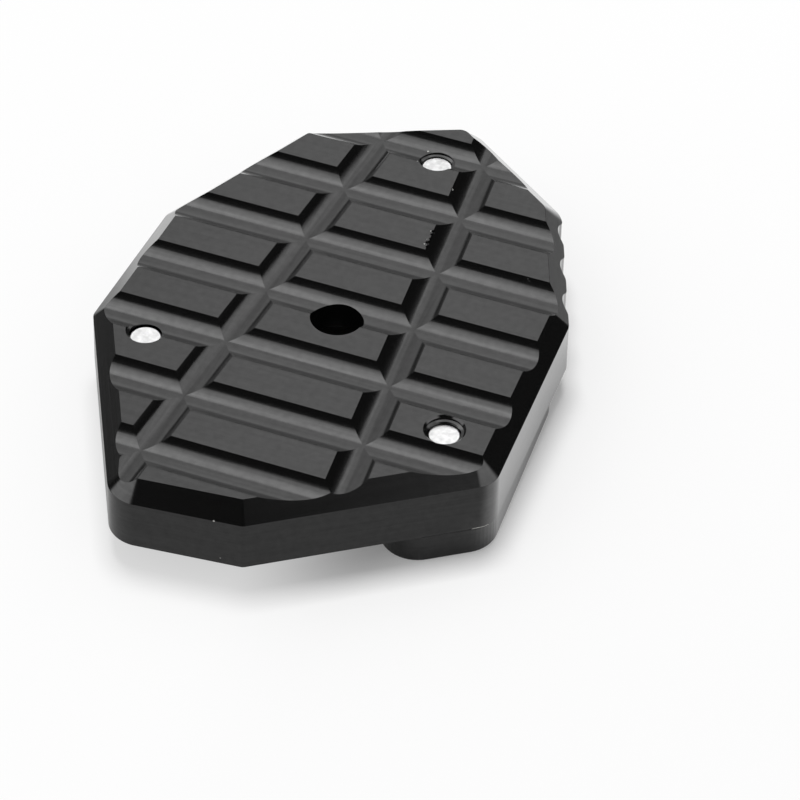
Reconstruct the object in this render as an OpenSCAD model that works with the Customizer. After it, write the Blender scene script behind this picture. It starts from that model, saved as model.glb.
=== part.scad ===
// Foot enlarger for a motorcycle side stand: a treaded pad with a pocket for the stand's foot,
// a U-shaped clamp plate that holds the foot in it, and three countersunk screws.
// It lies tread up on its clamp plate. Millimetres, +Z up, origin under the middle of the pad.

/* [Pad] */
// Thickness of the pad
pad_t = 10; // [9.5:0.5:14]
// Width of the 45 degree chamfer round the tread
chamfer = 2.5; // [1:0.1:3]
// Distance of the right side from the tread's middle
side_right = 30.3; // [29.5:0.1:33]
// Distance of the fluted side
side_fluted = 31.5; // [31:0.1:33]
// Distance of the far right side
side_far_right = 38.1; // [37.5:0.1:40]
// Distance of the far side
side_far = 39.3; // [38.5:0.1:41]
// Distance of the far left side
side_far_left = 32.1; // [31.5:0.1:34]
// Distance of the left side
side_left = 30.7; // [30:0.1:33]
// Distance of the near left side
side_near_left = 33.4; // [33:0.1:36]
// Distance of the near side
side_near = 43.1; // [41:0.1:45]
// Distance of the near right side
side_near_right = 37; // [36:0.1:38]

/* [Corners] */
// Radius of the corner between the right and fluted sides
corner_right = 3; // [2.8:0.1:4]
// Radius between the fluted and far right sides
corner_fluted = 5; // [3:0.1:6]
// Radius between the far right and far sides
corner_far_right = 4; // [3:0.1:5]
// Radius between the far and far left sides
corner_far = 3; // [2.8:0.1:4]
// Radius between the far left and left sides
corner_far_left = 3; // [2.8:0.1:4]
// Radius between the left and near left sides
corner_left = 2; // [1:0.1:4]
// Radius between the near left and near sides
corner_near_left = 5; // [3:0.1:6]
// Radius between the near and near right sides
corner_near = 1.5; // [1:0.1:4]
// Radius between the near right and right sides
corner_near_right = 4; // [3:0.1:5]

/* [Tread] */
// Distance from one row groove to the next
row_pitch = 12; // [11:0.25:14]
// Number of row grooves
rows = 7; // [5:2:9]
// Width of a row groove at the tread
row_w = 6.5; // [4:0.25:7]
// Distance of the two long grooves from the middle
column_x = 10.8; // [9.5:0.1:12]
// Angle by which each long groove leans inwards towards the far end
column_lean = 5; // [0:0.5:6]
// Width of a long groove at the tread
column_w = 5.4; // [3.5:0.1:6]
// Depth of all the grooves
groove_d = 1; // [0.5:0.1:1.4]
// Distance of the pattern's middle to the right of the tread's middle
grooves_x = 0.15; // [-0.5:0.05:0.5]
// Distance of the pattern's middle beyond the tread's middle
grooves_y = -0.2; // [-0.5:0.05:0.5]

/* [Flutes] */
// Number of finger flutes in the fluted side
flutes = 3; // [1:1:3]
// Distance from one flute to the next
flute_pitch = 7.3; // [6:0.1:8]
// Radius of a flute
flute_r = 2.6; // [2:0.1:3.2]
// Depth of a flute
flute_d = 1.05; // [0.4:0.05:1.2]
// Radius of the crests beside a flute
flute_lip = 1.5; // [0.5:0.1:1.8]
// Distance of the middle flute beyond the middle of its side
flute_shift = 0.6; // [-0.5:0.1:1]

/* [Foot pocket] */
// Width of the pocket for the stand's foot
pocket_w = 41; // [36:0.5:42]
// Length of the pocket
pocket_l = 51; // [46:0.5:52]
// Depth of the pocket
pocket_d = 5; // [3:0.25:6]
// Distance of the pocket's middle beyond the tread's middle
pocket_y = 3.5; // [2:0.25:4]
// Diameter of the hole through the pocket's floor
centre_hole_d = 7.4; // [4:0.1:9]
// Distance of that hole to the right of the tread's middle
centre_hole_x = 0.8; // [-2:0.1:2]
// Distance of that hole beyond the tread's middle
centre_hole_y = -2.7; // [-4:0.1:2]

/* [Clamp plate] */
// Thickness of the clamp plate
plate_t = 4.3; // [3.8:0.1:6]
// Width of the opening for the stand's leg
window_w = 32; // [26:0.5:33]
// Distance of the opening's closed end beyond the tread's middle
window_end = 23.5; // [18:0.5:25]
// Distance by which the plate stays inside the pad's sides
plate_inset = 2.4; // [1.5:0.1:3]
// Distance of the plate's own right side from the tread's middle
plate_right = 29.6; // [29:0.1:30]
// Radius of the plate's outer corners
plate_r = 5; // [3:0.1:5]

/* [Screws] */
// Thread diameter
screw_d = 5; // [4:0.5:5]
// Length of a screw, head included
screw_l = 12; // [11:0.5:12.5]
// Depth of the screws' tips below the tread
tip_recess = 1.1; // [1:0.1:1.5]
// How much deeper the far screw sits than the others
far_screw_sunk = 0.45; // [0:0.05:0.6]
// Distance of the two near screws from the opening's straight edges
screw_land = 6.15; // [5.9:0.05:6.4]
// Distance of the right screw before the tread's middle
right_screw_y = 18; // [16:0.1:19]
// Distance of the left screw before the tread's middle
left_screw_y = 15.2; // [14:0.1:17]
// Distance of the far screw to the right of the tread's middle
far_screw_x = 1.5; // [-1:0.1:3]
// Distance of the far screw beyond the opening's closed end
far_screw_land = 10.6; // [9.5:0.1:10.8]
// Diameter of the countersunk heads
head_d = 9.4; // [8:0.1:9.8]
// Height of the rim round a head
head_rim = 0.3; // [0.2:0.1:0.5]
// Size of the hexagon key across its flats
key_w = 3; // [2:0.5:3.5]
// Depth of the hexagon socket
key_d = 2; // [1.2:0.1:2.5]
// Radial clearance of a screw's thread in the pad
thread_clear = 0.05; // [0.03:0.01:0.15]
// Radial clearance of a screw's shank in the clamp plate
shank_clear = 0.25; // [0.1:0.05:0.4]
// Radial clearance of a head in its countersink
head_clear = 0.05; // [0.03:0.01:0.15]
// Width of the countersink where a screw's hole meets the tread
hole_bevel = 0.15; // [0.1:0.05:0.5]
// Width of the chamfer at a screw's tip
tip_bevel = 0.45; // [0.2:0.05:0.6]

/* [Hidden] */

// Each side is [direction of its outward normal, distance from the tread's middle, radius of the
// corner between it and the next side], anticlockwise from the right.
pad_sides = [
    [2.3, side_right, corner_right],
    [21.9, side_fluted, corner_fluted],
    [54.4, side_far_right, corner_far_right],
    [114.5, side_far, corner_far],
    [155, side_far_left, corner_far_left],
    [177.6, side_left, corner_left],
    [207, side_near_left, corner_near_left],
    [276.2, side_near, corner_near],
    [305.6, side_near_right, corner_near_right],
];
fluted = 1;
near_right_side = 8;
left_side = 5;
plate_sides = [
    [3.6, plate_right, 0],
    for (i = [fluted : left_side]) [pad_sides[i][0], pad_sides[i][1] - plate_inset, 0],
    [pad_sides[6][0], side_near_left - plate_inset / 2, 0],
    [pad_sides[near_right_side][0], side_near_right, 0],
];

// Each screw is [place to the right, place beyond the tread's middle, how much deeper it sits].
right_screw_at = [window_w / 2 + screw_land, -right_screw_y, 0];
left_screw_at = [-window_w / 2 - screw_land, -left_screw_y, 0];
far_screw_at = [far_screw_x, window_end + far_screw_land, far_screw_sunk];
screw_places = [right_screw_at, left_screw_at, far_screw_at];

tread_z = plate_t + pad_t;
tip_z = tread_z - tip_recess;
head_z = tip_z - screw_l;
screw_r = screw_d / 2;
head_r = head_d / 2;
far = 100;
over = 0.5;
least_r = 0.3;
curve_fn = 96;
corner_fn = 48;

// A groove's cutter has this radius, so that it is groove_d deep and w wide at the tread.
function cutter_r(w) = (w * w / 4 + groove_d * groove_d) / (2 * groove_d);

function normal(side) = [cos(side[0]), sin(side[0])];

// Where two sides meet, both moved inwards by d.
function meet(a, b, d) =
    let (na = normal(a), nb = normal(b), turn = na[0] * nb[1] - na[1] * nb[0])
    [
        ((a[1] - d) * nb[1] - (b[1] - d) * na[1]) / turn,
        ((b[1] - d) * na[0] - (a[1] - d) * nb[0]) / turn,
    ];

function next(sides, i) = sides[(i + 1) % len(sides)];
function corner_r(i, inset) = max(pad_sides[i][2] - inset, least_r);
function corner_at(i, inset) = meet(pad_sides[i], next(pad_sides, i), inset + corner_r(i, inset));

corner_count = len(pad_sides);
reach_right = max([for (i = [0 : corner_count - 1]) corner_at(i, 0)[0] + corner_r(i, 0)]);
reach_left = min([for (i = [0 : corner_count - 1]) corner_at(i, 0)[0] - corner_r(i, 0)]);
reach_far = max([for (i = [0 : corner_count - 1]) corner_at(i, 0)[1] + corner_r(i, 0)]);
reach_near = min([for (i = [0 : corner_count - 1]) corner_at(i, 0)[1] - corner_r(i, 0)]);
middle = [-(reach_right + reach_left) / 2, -(reach_far + reach_near) / 2, 0];

// The pad's blank: nine upright sides with rounded corners, and a chamfer round the tread.
module blank() {
    hull()
        for (i = [0 : corner_count - 1]) {
            translate(concat(corner_at(i, 0), plate_t))
                cylinder(r = corner_r(i, 0), h = pad_t - chamfer, $fn = corner_fn);
            translate(concat(corner_at(i, chamfer), plate_t))
                cylinder(r = corner_r(i, chamfer), h = pad_t, $fn = corner_fn);
        }
}

// A groove along X, cut by a round-nosed cutter.
module groove(w) {
    r = cutter_r(w);
    translate([-far, 0, tread_z - groove_d + r])
        rotate([0, 90, 0]) cylinder(r = r, h = 2 * far, $fn = curve_fn);
}

module tread_grooves() {
    translate([grooves_x, grooves_y, 0]) {
        for (i = [0 : rows - 1])
            translate([0, (i - (rows - 1) / 2) * row_pitch, 0]) groove(row_w);
        for (side = [-1, 1])
            translate([side * column_x, 0, 0])
                rotate([0, 0, 90 + side * column_lean]) groove(column_w);
    }
}

// Finger flutes with rounded crests between them: the space outside the side and the flutes,
// with its inward corners rounded.
module side_flutes() {
    a = pad_sides[fluted];
    start = meet(pad_sides[fluted - 1], a, 0);
    end = meet(a, next(pad_sides, fluted), 0);
    along = [-sin(a[0]), cos(a[0])];
    mid = (start + end) / 2 + along * flute_shift;
    reach = (flutes - 1) / 2 * flute_pitch + flute_r + flute_lip;
    translate(concat(mid, plate_t - over))
        rotate([0, 0, a[0]])
            linear_extrude(pad_t + 2 * over)
                offset(r = -flute_lip, $fn = curve_fn)
                    offset(delta = flute_lip) {
                        translate([0, -reach]) square([flute_r, 2 * reach]);
                        for (i = [0 : flutes - 1])
                            translate([flute_r - flute_d, (i - (flutes - 1) / 2) * flute_pitch])
                                circle(r = flute_r, $fn = curve_fn);
                    }
}

// The pocket that the stand's foot lies in, round at both ends.
module foot_pocket() {
    r = pocket_w / 2;
    half = pocket_l / 2 - r;
    h = pocket_d + over;
    translate([0, pocket_y, plate_t - over]) {
        for (side = [-1, 1]) translate([0, side * half, 0]) cylinder(r = r, h = h, $fn = curve_fn);
        translate([-r, -half, 0]) cube([pocket_w, 2 * half, h]);
    }
}

module screw_holes() {
    r = screw_r + thread_clear;
    for (at = screw_places)
        translate([at[0], at[1], 0]) {
            translate([0, 0, plate_t - over]) cylinder(r = r, h = pad_t + 2 * over, $fn = curve_fn);
            translate([0, 0, tread_z - hole_bevel])
                cylinder(r1 = r, r2 = r + hole_bevel + over, h = hole_bevel + over, $fn = curve_fn);
        }
}

module base_pad() {
    color([0.06, 0.06, 0.065])
        translate(middle)
            difference() {
                blank();
                tread_grooves();
                side_flutes();
                foot_pocket();
                screw_holes();
                translate([centre_hole_x, centre_hole_y, plate_t])
                    cylinder(d = centre_hole_d, h = pad_t + over, $fn = curve_fn);
            }
}

module plate_outline() {
    r = window_w / 2;
    count = len(plate_sides);
    offset(r = plate_r, $fn = corner_fn)
        offset(delta = -plate_r)
            difference() {
                polygon([for (i = [0 : count - 1]) meet(plate_sides[i], next(plate_sides, i), 0)]);
                translate([0, window_end - r]) circle(r = r, $fn = curve_fn);
                translate([-r, -far]) square([window_w, far + window_end - r]);
            }
}

// The head's cone and the hole's cone both open at 90 degrees.
module countersunk(r, top_r, rim_z) {
    translate([0, 0, rim_z]) cylinder(r1 = top_r, r2 = r, h = top_r - r, $fn = curve_fn);
}

module clamp_plate() {
    r = screw_r + shank_clear;
    wide = head_r + head_clear;
    rim_z = head_z + head_rim + head_clear * tan(22.5);
    color([0.07, 0.07, 0.075])
        translate(middle)
            difference() {
                linear_extrude(plate_t) plate_outline();
                for (at = screw_places)
                    translate([at[0], at[1], 0]) {
                        translate([0, 0, -over]) cylinder(r = r, h = plate_t + 2 * over, $fn = curve_fn);
                        translate([0, 0, -over])
                            cylinder(r = wide, h = rim_z - at[2] + over, $fn = curve_fn);
                        countersunk(r, wide, rim_z - at[2]);
                    }
            }
}

// A countersunk socket screw, head down and tip up.
module screw(at) {
    color("silver")
        translate(middle + [at[0], at[1], head_z - at[2]])
            difference() {
                rotate_extrude($fn = curve_fn)
                    polygon([
                        [0, 0],
                        [head_r, 0],
                        [head_r, head_rim],
                        [screw_r, head_rim + head_r - screw_r],
                        [screw_r, screw_l - tip_bevel],
                        [screw_r - tip_bevel, screw_l],
                        [0, screw_l],
                    ]);
                translate([0, 0, -over])
                    cylinder(d = key_w / cos(30), h = key_d + over, $fn = 6);
            }
}

module right_screw() { screw(right_screw_at); }
module left_screw() { screw(left_screw_at); }
module far_screw() { screw(far_screw_at); }

base_pad();
clamp_plate();
right_screw();
left_screw();
far_screw();
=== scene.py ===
import math

import bmesh
import bpy
from mathutils import Matrix, Vector


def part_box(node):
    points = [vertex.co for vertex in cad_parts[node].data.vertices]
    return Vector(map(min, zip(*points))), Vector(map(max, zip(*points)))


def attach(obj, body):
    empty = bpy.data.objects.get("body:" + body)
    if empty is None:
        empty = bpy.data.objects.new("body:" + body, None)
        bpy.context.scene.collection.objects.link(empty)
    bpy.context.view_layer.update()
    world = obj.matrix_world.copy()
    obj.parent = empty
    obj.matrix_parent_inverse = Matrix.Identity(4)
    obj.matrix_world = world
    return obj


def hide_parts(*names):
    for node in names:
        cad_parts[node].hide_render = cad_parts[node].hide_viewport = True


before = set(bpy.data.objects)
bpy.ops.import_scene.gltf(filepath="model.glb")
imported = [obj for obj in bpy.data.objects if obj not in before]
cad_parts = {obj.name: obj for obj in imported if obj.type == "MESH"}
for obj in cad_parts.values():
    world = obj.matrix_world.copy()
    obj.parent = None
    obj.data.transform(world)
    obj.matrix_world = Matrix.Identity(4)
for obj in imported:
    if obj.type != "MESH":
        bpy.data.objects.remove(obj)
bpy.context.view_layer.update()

MM = 0.001

# The photograph's camera: a long lens that looks down from the near side, a little to the right.
VIEW_AZIMUTH = 19.91
VIEW_ELEVATION = 42.6
VIEW_ROLL = 1.59
VIEW_DISTANCE = 602 * MM
VIEW_TARGET = Vector((14.725, -14.711, 14.3)) * MM
FRAME_WIDTH = 36.0
LENS = 203.2
CLIP = (0.01, 20)


def direction(azimuth, elevation):
    """Unit vector from the object towards a viewer at that azimuth and elevation, in degrees."""
    a = math.radians(azimuth)
    e = math.radians(elevation)
    return Vector((math.sin(a) * math.cos(e), -math.cos(a) * math.cos(e), math.sin(e)))


def make_camera():
    back = direction(VIEW_AZIMUTH, VIEW_ELEVATION)
    level = Vector((0, 0, 1)).cross(back).normalized()
    up = back.cross(level)
    roll = math.radians(VIEW_ROLL)
    across = math.cos(roll) * level + math.sin(roll) * up
    rise = back.cross(across)
    data = bpy.data.cameras.new("camera")
    data.sensor_width = FRAME_WIDTH
    data.lens = LENS
    data.clip_start, data.clip_end = CLIP
    camera = bpy.data.objects.new("camera", data)
    bpy.context.scene.collection.objects.link(camera)
    turn = Matrix((across, rise, back)).transposed().to_4x4()
    camera.matrix_world = Matrix.Translation(VIEW_TARGET + back * VIEW_DISTANCE) @ turn
    bpy.context.scene.camera = camera


class Nodes:
    """A short way to write a node tree."""

    def __init__(self, tree):
        self.tree = tree
        tree.nodes.clear()

    def plug(self, socket, value):
        if isinstance(value, bpy.types.NodeSocket):
            self.tree.links.new(value, socket)
        else:
            socket.default_value = value

    def add(self, kind, inputs=None, **settings):
        node = self.tree.nodes.new(kind)
        for name, value in settings.items():
            setattr(node, name, value)
        for name, value in (inputs or {}).items():
            self.plug(node.inputs[name], value)
        return node

    def math(self, operation, a, b=0.0):
        return self.add("ShaderNodeMath", {0: a, 1: b}, operation=operation).outputs[0]

    def vector(self, operation, a, b=(0, 0, 0)):
        node = self.add("ShaderNodeVectorMath", {0: a, 1: tuple(b)}, operation=operation)
        return node.outputs["Value"]

    def degrees(self, angle):
        return self.math("DEGREES", angle)

    def blend(self, a, share_a, b, share_b):
        return self.math("ADD", self.math("MULTIPLY", a, share_a), self.math("MULTIPLY", b, share_b))

    def faint(self, value, share):
        """A value from 0 to 1, drawn in towards the middle."""
        return self.math("ADD", self.math("MULTIPLY", value, share), (1 - share) / 2)

    def noise(self, place, scale, detail):
        inputs = {"Vector": place, "Scale": scale, "Detail": detail}
        return self.add("ShaderNodeTexNoise", inputs).outputs[0]

    def grey(self, value):
        return self.add("ShaderNodeCombineColor", {0: value, 1: value, 2: value}).outputs[0]

    def value(self, grey):
        """A grey colour as a plain value."""
        return self.math("ADD", grey, 0.0)

    def span(self, value, limits, results):
        """Straight from the first result at the first limit to the second at the second."""
        ends = {0: value, 1: limits[0], 2: limits[1], 3: results[0], 4: results[1]}
        return self.add("ShaderNodeMapRange", ends).outputs[0]

    def smooth(self, value, low, high):
        """From 0 at low to 1 at high."""
        limits = {0: value, 1: low, 2: high}
        return self.add("ShaderNodeMapRange", limits, interpolation_type="SMOOTHSTEP").outputs[0]

    def between(self, value, limits, soft):
        """1 between the limits and 0 outside them, with soft ends."""
        rise = self.smooth(value, limits[0] - soft[0], limits[0] + soft[0])
        fall = self.smooth(value, limits[1] - soft[1], limits[1] + soft[1])
        return self.math("SUBTRACT", rise, fall)

    def mix(self, factor, a, b):
        node = self.add("ShaderNodeMix", data_type="RGBA")
        for place, value in ((0, factor), (6, a), (7, b)):
            self.plug(node.inputs[place], value)
        return node.outputs[2]


AMBIENT = 0.42
DARK = 0.012
WHITE = (1, 1, 1, 1)

# The studio as polished metal sees it, one panel a row: which two directions bound it, its limits
# in the first, its limits in the second, how soft its left edge and its others are, and how bright
# it is at the two limits of the second.
# "sky" panels are bounded by azimuth (0 is away from the camera, + is right) and elevation,
# "ceiling" panels by how far they reach to the right and away for each unit of height, and
# "turned" ones by the same along directions turned to the right.
PANELS = [
    ("sky", (-60, 17.5), (12, 54), (0.8, 0.8), (0.85, 1.25)),
    ("sky", (-9, 17.5), (12, 54), (7, 0.8), (1.05, 1.75)),
    ("sky", (-12, 17.5), (0, 12), (0.8, 0.8), (0.46, 0.48)),
    ("sky", (-60, -12), (0, 15), (0.8, 0.8), (0.06, 0.15)),
    ("ceiling", (-1.2, 0.28), (0.152, 0.58), (0.015, 0.015), (2.15, 3.8)),
    ("ceiling", (-1.2, 0.12), (0.56, 0.88), (0.02, 0.02), (3.8, 3.7)),
    ("turned", (-0.5, 0.1), (0.3, 0.84), (0.01, 0.01), (1.2, 1.9)),
    ("turned", (-0.5, 0.1), (0.83, 0.952), (0.008, 0.008), (1.9, 3.1)),
    ("sky", (75, 142.5), (15, 55), (8, 8), (2.3, 2.3)),
    ("sky", (-136, -72), (16, 44), (3, 3), (2.5, 2.5)),
    ("sky", (148, 185), (3, 32), (2, 2), (0.9, 1.3)),
    ("sky", (-185, -139), (3, 32), (2, 2), (0.9, 1.3)),
]
TURNED_BY = 40
LEAST_HEIGHT = 0.001


def make_world():
    """A white room; in reflections, a dark studio with a few softboxes."""
    world = bpy.data.worlds.new("studio")
    bpy.context.scene.world = world
    world.use_nodes = True
    n = Nodes(world.node_tree)
    ray = n.add("ShaderNodeLightPath")
    where = n.add("ShaderNodeTexCoord").outputs["Generated"]
    away = -direction(VIEW_AZIMUTH, 0)
    along = n.vector("DOT_PRODUCT", where, away)
    across = n.vector("DOT_PRODUCT", where, away.cross(Vector((0, 0, 1))))
    height = n.add("ShaderNodeSeparateXYZ", {0: where}).outputs["Z"]
    up = n.math("MAXIMUM", height, LEAST_HEIGHT)
    away_reach = n.math("DIVIDE", along, up)
    right_reach = n.math("DIVIDE", across, up)
    c = math.cos(math.radians(TURNED_BY))
    s = math.sin(math.radians(TURNED_BY))
    views = {
        "sky": (n.degrees(n.math("ARCTAN2", across, along)), n.degrees(n.math("ARCSINE", height))),
        "ceiling": (right_reach, away_reach),
        "turned": (n.blend(right_reach, c, away_reach, -s), n.blend(away_reach, c, right_reach, s)),
    }
    glow = DARK
    for kind, first, second, soft, levels in PANELS:
        a, b = views[kind]
        inside = n.math("MULTIPLY", n.between(a, first, soft), n.between(b, second, (soft[1], soft[1])))
        glow = n.math("MAXIMUM", glow, n.math("MULTIPLY", inside, n.span(b, second, levels)))
    seen = n.mix(ray.outputs["Is Glossy Ray"], (AMBIENT, AMBIENT, AMBIENT, 1), n.grey(glow))
    shown = n.mix(ray.outputs["Is Camera Ray"], seen, WHITE)
    background = n.add("ShaderNodeBackground", {0: shown, 1: 1.0})
    n.add("ShaderNodeOutputWorld", {0: background.outputs[0]})


LAMP_SIZE = 0.78
LAMP_POWER = 25.5
LAMP_DISTANCE = 2
LAMP_AZIMUTH = VIEW_AZIMUTH + 190
LAMP_ELEVATION = 80


def make_lamp():
    """A softbox high behind the object, which puts its short shadow in front."""
    data = bpy.data.lights.new("softbox", "AREA")
    data.shape = "SQUARE"
    data.size = LAMP_SIZE
    data.energy = LAMP_POWER
    lamp = bpy.data.objects.new("softbox", data)
    bpy.context.scene.collection.objects.link(lamp)
    towards = direction(LAMP_AZIMUTH, LAMP_ELEVATION)
    turn = towards.to_track_quat("Z", "Y").to_matrix().to_4x4()
    lamp.matrix_world = Matrix.Translation(towards * LAMP_DISTANCE) @ turn
    lamp.visible_glossy = False


FLOOR_SIZE = 6.0
PAPER = 0.8
# The paper glows a little, but not under the pad's middle, where the hole in the tread shows it.
PAPER_GLOW = 0.17
GLOW_STARTS = (24 * MM, 29 * MM)
# On the near left, half of the open floor's light comes from under the paper: shadows are pale there.
OPEN_LIGHT = 1.025
FROM_BELOW = 0.5
PALE_X = (18 * MM, 0)
# The pad mirrors a dimmer floor in front of it and far off, and a brighter one beside and behind it.
MIRRORED = 0.6
MIRRORED_REACH = (120 * MM, 80 * MM)
MIRRORED_RIGHT = 0.75
RIGHT_X = (27 * MM, 36 * MM)
RIGHT_Y = (-30 * MM, -21 * MM)
MIRRORED_BEHIND = 0.85
BEHIND_Y = (14 * MM, 34 * MM)


def floor_paper():
    """White paper with a glow of its own, and other tones in the pad's reflections."""
    material = bpy.data.materials.new("floor_paper")
    material.use_nodes = True
    n = Nodes(material.node_tree)
    mirrored = n.add("ShaderNodeLightPath").outputs["Is Glossy Ray"]
    place = n.add("ShaderNodeNewGeometry").outputs["Position"]
    x, y, _ = n.add("ShaderNodeSeparateXYZ", {0: place}).outputs
    direct = n.math("SUBTRACT", 1.0, mirrored)
    below = n.math("MULTIPLY", direct, n.math("MULTIPLY", n.smooth(x, *PALE_X), FROM_BELOW * PAPER))
    tone = n.span(mirrored, (0, 1), (PAPER, PAPER * MIRRORED))
    paper = n.add("ShaderNodeBsdfDiffuse", {"Color": n.grey(n.math("SUBTRACT", tone, below))})
    reach = n.vector("LENGTH", place)
    near = n.math("MULTIPLY", mirrored, n.smooth(reach, *MIRRORED_REACH))
    beside = n.math("MULTIPLY", n.smooth(x, *RIGHT_X), n.smooth(y, *RIGHT_Y))
    extra = n.blend(beside, MIRRORED_RIGHT, n.smooth(y, *BEHIND_Y), MIRRORED_BEHIND)
    under_light = n.math("ADD", n.math("MULTIPLY", below, OPEN_LIGHT), PAPER_GLOW)
    shown = n.math("MULTIPLY", n.smooth(reach, *GLOW_STARTS), under_light)
    strength = n.math("ADD", shown, n.math("MULTIPLY", near, extra))
    glow = n.add("ShaderNodeEmission", {"Strength": strength})
    both = n.add("ShaderNodeAddShader", {0: paper.outputs[0], 1: glow.outputs[0]})
    n.add("ShaderNodeOutputMaterial", {0: both.outputs[0]})
    return material


def make_floor():
    half = FLOOR_SIZE / 2
    corners = [(-half, -half, 0), (half, -half, 0), (half, half, 0), (-half, half, 0)]
    mesh = bpy.data.meshes.new("floor")
    mesh.from_pydata(corners, [], [(0, 1, 2, 3)])
    mesh.materials.append(floor_paper())
    floor = bpy.data.objects.new("floor", mesh)
    bpy.context.scene.collection.objects.link(floor)


FAR_SCREW_AT = (1.5, 34.1)


def middle():
    """The tread's middle in the frame, found from the far screw's box."""
    low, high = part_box("far_screw")
    x, y, _ = (Vector(low) + Vector(high)) / 2 / MM
    return Vector((x - FAR_SCREW_AT[0], y - FAR_SCREW_AT[1], 0))


MIDDLE = middle()

# Small light specks, chipped edges and dust on the pad: place from the tread's middle and radius.
SPECKS = [
    ((5.8, 28.7, 14.2), 0.16),
    ((3.6, 28.55, 13.5), 0.07),
    ((6.25, 19.0, 14.3), 0.06),
    ((6.35, 17.2, 14.3), 0.05),
    ((6.4, 16.1, 14.3), 0.08),
    ((22.1, 14.7, 14.3), 0.16),
    ((21.7, 14.75, 14.3), 0.12),
    ((1.5, 39.8, 13.6), 0.13),
    ((-0.67, 36.25, 13.4), 0.12),
    ((-0.9, 32.6, 14.3), 0.1),
    ((25.9, -20.95, 13.5), 0.09),
    ((-0.34, -43.4, 11.8), 0.12),
    ((0.5, -43.3, 5.3), 0.08),
]
# The specks' light colour, which the painted highlights use too.
SPECK_AND_HIGHLIGHT_COLOUR = (0.42, 0.42, 0.4, 1)
MARK_ROUGHNESS = 0.5
# How far past its radius a mark starts and is full, and how much the mottling frays it.
MARK_SOFT = (0.15, 0.06)
MARK_RAGGED = 0.2 * MM

# The cutters' lines, as the direction they are turned by and their fineness along x, y and z.
FACED_LINES = (-20, (0.05, 3.4, 1))
ROW_LINES = (0, (0.05, 1.7, 1.7))
COLUMN_LINES = (0, (1.7, 0.05, 1.7))
WALL_LINES = (0, (0.05, 0.05, 2.6))
LINE_HEIGHT = 0.009 * MM
# How much of their contrast the lines keep on the fields and on the walls.
FACED_SHARE = 0.5
WALL_SHARE = 0.6
# Limits of the normal's parts that tell the tread's fields, the grooves and the walls apart.
FIELD_Z = (0.9993, 0.99985)
WALL_Z = (0.8, 0.72)
SIDEWAYS = (-0.03, 0.03)
# How strongly the film reflects: its least, and what the lines and the mottling add.
FILM = 0.21
FILM_LINES = 0.34
FILM_MOTTLED = 0.24
FILM_IOR = 1.5
# Each noise as its scale and its detail.
LINE_NOISE = (1000.0, 3.0)
MOTTLING = (1100.0, 4.0)
# The two films, as roughness and base colour.
PAD_FILM = (0.15, 0.004)
PLATE_FILM = (0.22, 0.005)


def streaks(n, place, lines):
    """Fine lines: noise drawn out along one direction."""
    turn, scale = lines
    rotation = (0, 0, math.radians(turn))
    stretched = n.add("ShaderNodeMapping", {"Vector": place, "Rotation": rotation, "Scale": scale})
    return n.noise(stretched.outputs[0], *LINE_NOISE)


def marked(n, place, mottled, marks):
    """1 on the light marks, specks and painted highlights alike, 0 beside them."""
    low = 0.0
    for at, radius in marks:
        away = n.vector("DISTANCE", place, (Vector(at) + MIDDLE) * MM)
        ragged = n.blend(away, 1.0, mottled, MARK_RAGGED)
        limits = [(radius + soft) * MM for soft in MARK_SOFT]
        low = n.math("MAXIMUM", low, n.smooth(ragged, *limits))
    return low


def black_anodised(name, roughness, base, marks=()):
    """Black anodised aluminium with the lines that the cutters left under the film."""
    material = bpy.data.materials.new(name)
    material.use_nodes = True
    n = Nodes(material.node_tree)
    place = n.add("ShaderNodeTexCoord").outputs["Object"]
    facing = n.add("ShaderNodeNewGeometry").outputs["True Normal"]
    nx, ny, nz = n.add("ShaderNodeSeparateXYZ", {0: facing}).outputs
    faced = n.faint(streaks(n, place, FACED_LINES), FACED_SHARE)
    walls = n.faint(streaks(n, place, WALL_LINES), WALL_SHARE)
    mottled = n.noise(place, *MOTTLING)
    sideways = n.smooth(n.math("SUBTRACT", n.math("ABSOLUTE", nx), n.math("ABSOLUTE", ny)), *SIDEWAYS)
    in_rows = n.grey(streaks(n, place, ROW_LINES))
    in_columns = n.grey(streaks(n, place, COLUMN_LINES))
    on_top = n.mix(n.smooth(nz, *FIELD_Z), n.mix(sideways, in_rows, in_columns), n.grey(faced))
    lines = n.value(n.mix(n.smooth(nz, *WALL_Z), on_top, n.grey(walls)))
    tone = n.math("ADD", n.blend(lines, FILM_LINES, mottled, FILM_MOTTLED), FILM)
    bump = n.add("ShaderNodeBump", {"Strength": 1.0, "Distance": LINE_HEIGHT, "Height": lines})
    look = {
        "Base Color": (base, base, base, 1),
        "Roughness": roughness,
        "IOR": FILM_IOR,
        "Specular IOR Level": tone,
        "Normal": bump.outputs[0],
    }
    if marks:
        low = marked(n, place, mottled, marks)
        look["Base Color"] = n.mix(low, look["Base Color"], SPECK_AND_HIGHLIGHT_COLOUR)
        look["Roughness"] = n.math("ADD", n.math("MULTIPLY", low, MARK_ROUGHNESS), roughness)
    shader = n.add("ShaderNodeBsdfPrincipled", look)
    n.add("ShaderNodeOutputMaterial", {0: shader.outputs[0]})
    return material


STEEL_NOISE = (1300.0, 4.0)
STEEL_WEAR = (0.3, 0.7)
STEEL_TONES = (0.42, 0.62)
STEEL_ROUGHNESS = 0.3
STEEL_LUMPS = 0.01 * MM


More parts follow.
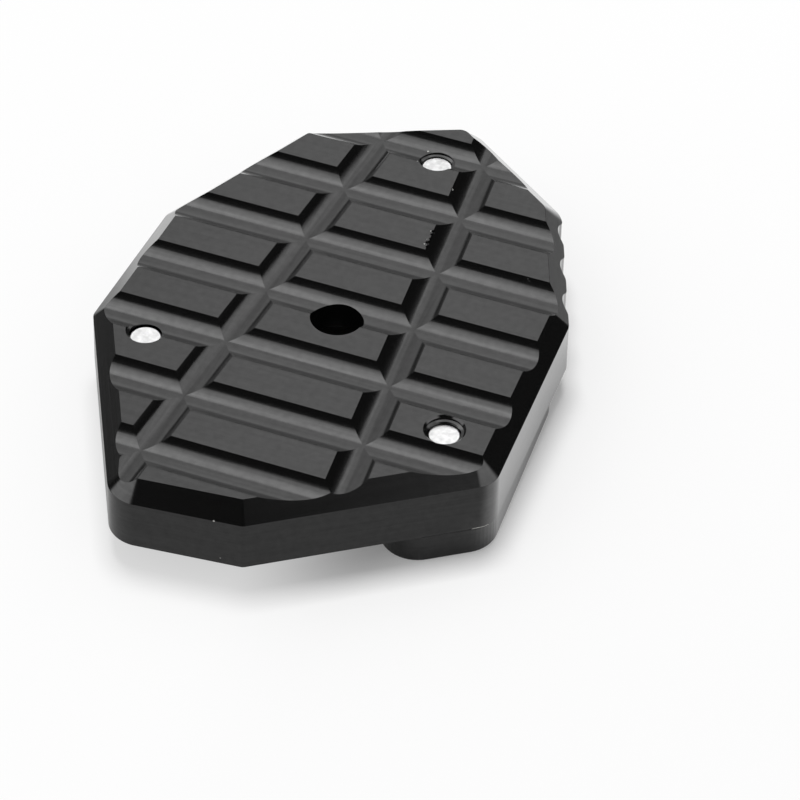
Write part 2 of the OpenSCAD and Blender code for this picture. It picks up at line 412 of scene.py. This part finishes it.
def bright_steel():
    """Bright plated steel, a little worn."""
    material = bpy.data.materials.new("screw_steel")
    material.use_nodes = True
    n = Nodes(material.node_tree)
    worn = n.noise(n.add("ShaderNodeTexCoord").outputs["Object"], *STEEL_NOISE)
    tone = n.grey(n.span(worn, STEEL_WEAR, STEEL_TONES))
    bump = n.add("ShaderNodeBump", {"Strength": 1.0, "Distance": STEEL_LUMPS, "Height": worn})
    look = {"Base Color": tone, "Roughness": STEEL_ROUGHNESS, "Metallic": 1.0, "Normal": bump.outputs[0]}
    shader = n.add("ShaderNodeBsdfPrincipled", look)
    n.add("ShaderNodeOutputMaterial", {0: shader.outputs[0]})
    return material


# The pad, from the same sizes as its solid, in millimetres.
PAD_T = 10
PLATE_T = 4.3
TREAD_Z = PLATE_T + PAD_T
CHAMFER = 2.5
# Each side is the direction of its outward normal, its distance from the tread's middle, and the
# radius of the corner between it and the next side, anticlockwise from the right.
PAD_SIDES = [
    (2.3, 30.3, 3),
    (21.9, 31.5, 5),
    (54.4, 38.1, 4),
    (114.5, 39.3, 3),
    (155, 32.1, 3),
    (177.6, 30.7, 2),
    (207, 33.4, 5),
    (276.2, 43.1, 1.5),
    (305.6, 37, 4),
]
# The fluted side's place in that list, and the least radius of a corner that is moved inwards.
FLUTED = 1
LEAST_R = 0.3
GROOVE_D = 1
ROW_PITCH, ROWS, ROW_W = 12, 7, 6.5
COLUMN_X, COLUMN_LEAN, COLUMN_W = 10.8, 5, 5.4
GROOVES_AT = Vector((0.15, -0.2))
FLUTES, FLUTE_PITCH, FLUTE_R, FLUTE_D = 3, 7.3, 3.4, 0.75
FLUTE_LIP, FLUTE_SHIFT = 2.1, 0.6
POCKET_W, POCKET_L, POCKET_D, POCKET_Y = 41, 51, 5, 3.5
CENTRE_HOLE_AT, CENTRE_HOLE_R = (0.8, -2.7), 3.7
# Each screw's hole: its place, its radius, the width of its bevel, and how far below the tread the
# screw's tip and the top of the step are.
HOLES = [
    ((22.22, -18.12), 2.6, 0.27, 1.1, 0.55),
    ((-22.25, -14.9), 2.6, 0.12, 1.1, 0.5),
    (FAR_SCREW_AT, 2.55, 0.12, 1.55, 1.25),
]
STEP_W, STEP_D = 0.38, 0.12
# How far above the screw's tip its hole starts and stops narrowing.
NARROWS = (0.02, 0.03)
HOLE_SIDES, CENTRE_SIDES = 96, 180
# Chips along the edges of the tread's fields: place and radius.
CHIPS = [
    ((6.6, 19.1), 0.42),
    ((6.6, 18.4), 0.3),
    ((6.75, 17.5), 0.28),
    ((6.72, 16.6), 0.5),
    ((6.9, 15.7), 0.28),
    ((5.74, 28.7), 0.22),
    ((22.35, 14.6), 0.28),
]
CHIP_D, CHIP_SIDES = 0.3, 7
# Two rows of painted highlights, on the near right corner's lower edge and on the far screw's thread, as
# the first and last direction of their marks and the step between them, how high they are, and the marks'
# radius.
CORNER_PAINTED_HIGHLIGHT = ((296, 328, 2.5), PLATE_T + 0.08, 0.09)
THREAD_PAINTED_HIGHLIGHT = ((105, 145, 4), TREAD_Z - 1.8, 0.1)
EDGE_R, EDGE_STEPS = 0.07, 5
# Degrees from one point of a round to the next: of the pad's corners, and of its cutters.
CORNER_STEP = 1.5
CUTTER_STEP = 1.5
GROOVE_STEP = 1.25
# How far the cutters run past what they cut.
OVER = 1
GROOVE_OVER = 3
HOLE_OVER = 0.5
# Half of a groove cutter's length, and half of the angle that its nose turns through.
GROOVE_REACH = 70
GROOVE_SWING = 56
# How far the flutes' cutter stands off the side's own face.
FLUTE_OFF = 0.004
# Edges that turn by more degrees than this are shaded sharp.
SHARP = 2.2


def normal(degrees):
    a = math.radians(degrees)
    return Vector((math.cos(a), math.sin(a)))


def frange(low, high, step):
    """Even steps from low to high, both included, as near to the step as they come."""
    count = round((high - low) / step)
    return [low + (high - low) * k / count for k in range(count + 1)]


def meet(a, b, inset):
    """Where two sides meet, both moved inwards."""
    na, nb = normal(a[0]), normal(b[0])
    turn = na.x * nb.y - na.y * nb.x
    da, db = a[1] - inset, b[1] - inset
    return Vector(((da * nb.y - db * na.y) / turn, (db * na.x - da * nb.x) / turn))


def painted_edge_highlights():
    """Rows of painted highlights: on the lower edge of the near right corner, and on the thread in the
    far screw's hole.
    """
    near_right = PAD_SIDES[-1]
    corner = meet(near_right, PAD_SIDES[0], near_right[2])
    arcs = [
        (corner, near_right[2], CORNER_PAINTED_HIGHLIGHT),
        (Vector(FAR_SCREW_AT), HOLES[-1][1], THREAD_PAINTED_HIGHLIGHT),
    ]
    marks = []
    for centre, r, (turns, z, radius) in arcs:
        marks += [((*(centre + r * normal(a)), z), radius) for a in frange(*turns)]
    return marks


def outline(inset):
    """The pad's outline moved inwards, with round corners."""
    points = []
    for i, side in enumerate(PAD_SIDES):
        after = PAD_SIDES[(i + 1) % len(PAD_SIDES)]
        r = max(side[2] - inset, LEAST_R)
        centre = meet(side, after, inset + r)
        turn = (after[0] - side[0]) % 360
        steps = math.ceil(turn / CORNER_STEP)
        points += [centre + r * normal(side[0] + turn * k / steps) for k in range(steps + 1)]
    return points


def fillet(before, corner, after, r):
    """Points of a round between two straight stretches of a profile."""
    a = (Vector(before) - Vector(corner)).normalized()
    b = (Vector(after) - Vector(corner)).normalized()
    half = a.angle(b) / 2
    reach = r / math.tan(half)
    centre = Vector(corner) + (a + b).normalized() * r / math.sin(half)
    start = Vector(corner) + a * reach - centre
    end = Vector(corner) + b * reach - centre
    sweep = start.angle_signed(end)
    turns = [Matrix.Rotation(-sweep * k / EDGE_STEPS, 2) for k in range(EDGE_STEPS + 1)]
    return [tuple(centre + turn @ start) for turn in turns]


def skin(rings, name, material=None):
    """A closed solid through rings of as many points each, with flat ends."""
    bm = bmesh.new()
    rows = [[bm.verts.new((MIDDLE + Vector(p)) * MM) for p in ring] for ring in rings]
    count = len(rows[0])
    for low, high in zip(rows, rows[1:]):
        for k in range(count):
            bm.faces.new((low[k], low[(k + 1) % count], high[(k + 1) % count], high[k]))
    bm.faces.new(rows[0])
    bm.faces.new(rows[-1])
    mesh = bpy.data.meshes.new(name)
    bmesh.ops.recalc_face_normals(bm, faces=bm.faces)
    bm.to_mesh(mesh)
    bm.free()
    if material:
        mesh.materials.append(material)
    piece = bpy.data.objects.new(name, mesh)
    bpy.context.scene.collection.objects.link(piece)
    return piece


def pad_blank(material):
    """The pad before its cuts, from the corners of its profile as (inset, height)."""
    corners = [(EDGE_R, 0), (0, EDGE_R), (0, PAD_T - CHAMFER), (CHAMFER, PAD_T), (2 * CHAMFER, PAD_T)]
    profile = corners[:2]
    profile += fillet(*corners[1:4], EDGE_R)
    profile += fillet(*corners[2:5], EDGE_R)
    rings = [[(*p, z + PLATE_T) for p in outline(inset)] for inset, z in profile]
    return skin(rings, "pad", material)


def round_cutter(name, at, stretches, sides):
    """A cutter of revolution about an upright line, from pairs of radius and height."""
    circle = [normal(360 * k / sides) for k in range(sides)]
    rings = [[(at[0] + r * c.x, at[1] + r * c.y, z) for c in circle] for r, z in stretches]
    return skin(rings, name)


def groove(name, width, x, y, turn):
    """A long cutter with a round nose."""
    r = (width * width / 4 + GROOVE_D * GROOVE_D) / (2 * GROOVE_D)
    spread = [math.radians(a) for a in frange(-GROOVE_SWING, GROOVE_SWING, GROOVE_STEP)]
    axis_z = TREAD_Z - GROOVE_D + r
    top = TREAD_Z + GROOVE_OVER
    section = [(r * math.sin(a), axis_z - r * math.cos(a)) for a in spread]
    section += [(section[-1][0], top), (section[0][0], top)]
    a = math.radians(turn)
    run = Vector((math.cos(a), math.sin(a)))
    side = Vector((-math.sin(a), math.cos(a)))
    ends = [GROOVES_AT + Vector((x, y)) + run * reach for reach in (-GROOVE_REACH, GROOVE_REACH)]
    rings = [[(*(end + side * s), z) for s, z in section] for end in ends]
    return skin(rings, name)


def screw_hole(at, radius, bevel, recess, step_depth):
    """A cutter for a screw's hole: wide up to the screw's tip, narrow over it, then wide and bevelled."""
    tip_z, step_z = TREAD_Z - recess, TREAD_Z - step_depth
    narrow, wide = radius - STEP_W, radius + bevel
    stretches = [
        (radius, PLATE_T - OVER),
        (radius, tip_z + NARROWS[0]),
        (narrow, tip_z + NARROWS[1]),
        (narrow, step_z - STEP_D),
        (radius, step_z),
        (radius, TREAD_Z - bevel),
        (wide, TREAD_Z),
        (wide, TREAD_Z + HOLE_OVER),
    ]
    return round_cutter("hole", at, stretches, HOLE_SIDES)


def flute_section():
    """The flutes' cutter in plan, as (outwards from the side, along it): hollows between round crests."""
    depth, reach = FLUTE_R - FLUTE_D + FLUTE_LIP, FLUTE_R + FLUTE_LIP
    swing = math.degrees(math.acos(depth / reach))
    crest = reach * math.sin(math.radians(swing))
    hollow = [normal(a) * FLUTE_R for a in frange(-swing, swing, CUTTER_STEP)]
    arc = [normal(a) for a in frange(0, swing, CUTTER_STEP)]
    points = [(FLUTE_R, -2 * FLUTE_PITCH)]
    for i in range(FLUTES):
        v = (i - (FLUTES - 1) / 2) * FLUTE_PITCH
        points += [(FLUTE_LIP * (p.x - 1), v - (crest - FLUTE_LIP * p.y)) for p in arc]
        points += [(FLUTE_R - FLUTE_D - p.x, v + p.y) for p in hollow[1:-1]]
        points += [(FLUTE_LIP * (p.x - 1), v + (crest - FLUTE_LIP * p.y)) for p in arc[::-1]]
    return points + [(FLUTE_R, 2 * FLUTE_PITCH)]


def flutes_cutter():
    before, fluted, after = PAD_SIDES[FLUTED - 1:FLUTED + 2]
    out = normal(fluted[0])
    along = Vector((-out.y, out.x))
    mid = (meet(before, fluted, 0) + meet(fluted, after, 0)) / 2 + along * FLUTE_SHIFT
    section = [mid + along * v + out * (u + FLUTE_OFF) for u, v in flute_section()]
    return skin([[(*p, z) for p in section] for z in (PLATE_T - OVER, TREAD_Z + OVER)], "flutes")


def pocket_cutter():
    half = POCKET_L / 2 - POCKET_W / 2
    stadium = []
    for first, end in ((0, half), (180, -half)):
        middle_of_end = Vector((0, POCKET_Y + end))
        around = frange(first, first + 180, CUTTER_STEP)
        stadium += [(normal(a) * POCKET_W / 2) + middle_of_end for a in around]
    return skin([[(*p, z) for p in stadium] for z in (PLATE_T - OVER, PLATE_T + POCKET_D)], "pocket")


def carve(piece, cutter):
    """Cut one solid out of another, and remove the cutter."""
    cut = piece.modifiers.new("cut", "BOOLEAN")
    cut.object = cutter
    cut.solver = "MANIFOLD"
    depsgraph = bpy.context.evaluated_depsgraph_get()
    mesh = bpy.data.meshes.new_from_object(piece.evaluated_get(depsgraph))
    piece.modifiers.clear()
    piece.data = mesh
    bpy.data.objects.remove(cutter)


def make_pad(material):
    """The pad with the cuts of its solid, stepped screw holes and chips, in place of that solid."""
    pad = pad_blank(material)
    for i in range(ROWS):
        carve(pad, groove("row", ROW_W, 0, (i - (ROWS - 1) / 2) * ROW_PITCH, 0))
    for side in (-1, 1):
        carve(pad, groove("column", COLUMN_W, side * COLUMN_X, 0, 90 + side * COLUMN_LEAN))
    carve(pad, flutes_cutter())
    carve(pad, pocket_cutter())
    ends = [(CENTRE_HOLE_R, PLATE_T), (CENTRE_HOLE_R, TREAD_Z + OVER)]
    carve(pad, round_cutter("centre", CENTRE_HOLE_AT, ends, CENTRE_SIDES))
    for hole in HOLES:
        carve(pad, screw_hole(*hole))
    for at, radius in CHIPS:
        ends = [(radius / 2, TREAD_Z - CHIP_D), (radius, TREAD_Z + CHIP_D)]
        carve(pad, round_cutter("chip", at, ends, CHIP_SIDES))
    pad.data.set_sharp_from_angle(angle=math.radians(SHARP))
    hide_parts("base_pad")
    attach(pad, "root")


PLATE_EDGE = 0.2 * MM
SCREW_EDGE = 0.05 * MM
WELD_GAP = 0.002 * MM
# Degrees up to which two faces count as one flat face, and from which their edge gets a bevel.
FLAT_WITHIN = 0.3
EDGE_FROM = 20


def dress(node, material, edge):
    """Give a solid its material and small bevels along its edges."""
    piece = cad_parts[node]
    piece.data.materials.clear()
    piece.data.materials.append(material)
    weld = piece.modifiers.new("weld", "WELD")
    weld.merge_threshold = WELD_GAP
    flat = piece.modifiers.new("flat", "DECIMATE")
    flat.decimate_type = "DISSOLVE"
    flat.angle_limit = math.radians(FLAT_WITHIN)
    bevel = piece.modifiers.new("edges", "BEVEL")
    bevel.width = edge
    bevel.segments = 2
    bevel.limit_method = "ANGLE"
    bevel.angle_limit = math.radians(EDGE_FROM)
    bevel.harden_normals = True


make_camera()
make_world()
make_lamp()
make_floor()
# The specks are chips and dust; the rows of edge marks added to them are painted highlights.
make_pad(black_anodised("pad_black", *PAD_FILM, SPECKS + painted_edge_highlights()))
dress("clamp_plate", black_anodised("plate_black", *PLATE_FILM), PLATE_EDGE)
steel = bright_steel()
for screw in ("right_screw", "left_screw", "far_screw"):
    dress(screw, steel, SCREW_EDGE)

bpy.context.scene.view_settings.view_transform = "Standard"
